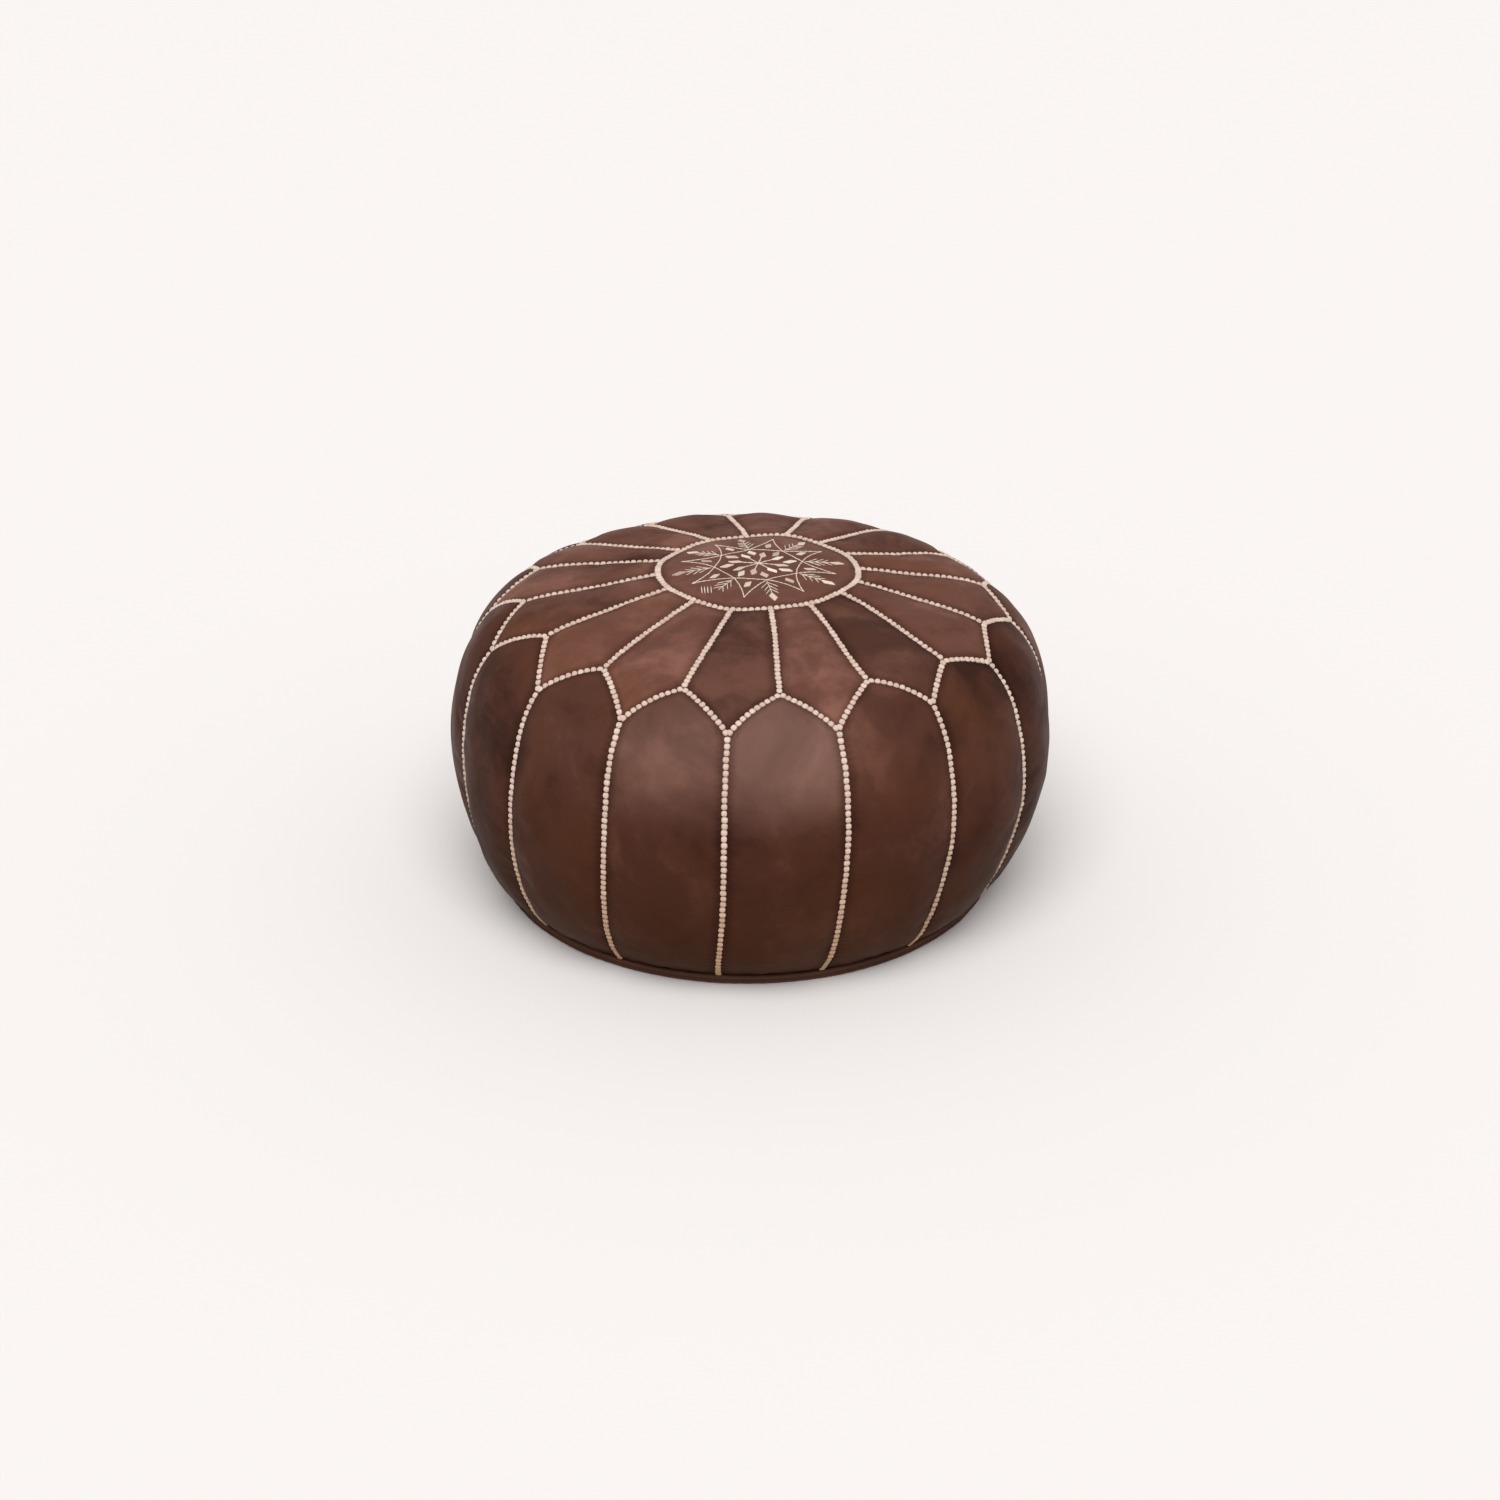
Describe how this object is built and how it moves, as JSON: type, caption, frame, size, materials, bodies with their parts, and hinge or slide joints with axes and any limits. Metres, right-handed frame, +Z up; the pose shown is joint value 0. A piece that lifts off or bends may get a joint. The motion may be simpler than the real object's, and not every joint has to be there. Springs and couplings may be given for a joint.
{
  "type": "leather pouf",
  "caption": "Round stuffed leather pouf: embroidered medallion, ring of petals and tall side panels joined by raised stitching, welted base with a zip.",
  "frame": {"origin": "centre of the base, on the plane where it meets the floor", "axes": "+Z up through the centre of the medallion, which is the axis that the panels repeat around; +X along the zip, towards the end where it stands closed; -Y is the front"},
  "size_m": [0.55, 0.55, 0.2989],
  "materials": {
    "petal_leather": "hand-dyed brown goat leather, satin",
    "side_leather": "hand-dyed dark brown goat leather, satin",
    "medallion_leather": "hand-dyed brown goat leather, satin",
    "base_leather": "brown goat leather, satin",
    "seam_thread": "cream silky stitching thread",
    "embroidery_thread": "ivory satin-stitch thread",
    "cotton": "unbleached cotton, matt",
    "zip_tape": "dark brown woven tape",
    "zip_brass": "aged brass"
  },
  "bodies": {
    "root": {"petal_01": "petal_leather", "petal_02": "petal_leather", "petal_03": "petal_leather", "petal_04": "petal_leather", "petal_05": "petal_leather", "petal_06": "petal_leather", "petal_07": "petal_leather", "petal_08": "petal_leather", "petal_09": "petal_leather", "petal_10": "petal_leather", "petal_11": "petal_leather", "petal_12": "petal_leather", "petal_13": "petal_leather", "petal_14": "petal_leather", "petal_15": "petal_leather", "petal_16": "petal_leather", "side_panel_01": "side_leather", "side_panel_02": "side_leather", "side_panel_03": "side_leather", "side_panel_04": "side_leather", "side_panel_05": "side_leather", "side_panel_06": "side_leather", "side_panel_07": "side_leather", "side_panel_08": "side_leather", "side_panel_09": "side_leather", "side_panel_10": "side_leather", "side_panel_11": "side_leather", "side_panel_12": "side_leather", "side_panel_13": "side_leather", "side_panel_14": "side_leather", "side_panel_15": "side_leather", "side_panel_16": "side_leather", "medallion": "medallion_leather", "medallion_stitching": "seam_thread", "scallop_stitching": "seam_thread", "spoke_stitching": "seam_thread", "side_stitching": "seam_thread", "star_embroidery": "embroidery_thread", "flower_embroidery": "embroidery_thread", "sprig_embroidery": "embroidery_thread", "base_welt": "base_leather", "welt_cord": "cotton", "base_front": "base_leather", "base_back": "base_leather", "zip_tape_front": "zip_tape", "zip_tape_back": "zip_tape", "zip_teeth_front": "zip_brass", "zip_teeth_back": "zip_brass", "zip_stops": "zip_brass", "inner_bag": "cotton", "stuffing": "cotton"},
    "zip_slider": {"zip_slider": "zip_brass"},
    "zip_pull": {"zip_pull": "zip_brass"}
  },
  "joints": [
    {"name": "zip_slide", "type": "slide", "parent": "root", "child": "zip_slider", "axis": [-1, 0, 0], "range_m": [0, 0.302], "deforming": ["zip_teeth_front", "zip_teeth_back"]},
    {"name": "pull_hinge", "type": "hinge", "parent": "zip_slider", "child": "zip_pull", "pos_m": [0.153, 0, 0.0034], "axis": [0, -1, 0], "range_deg": [0, 180]}
  ]
}
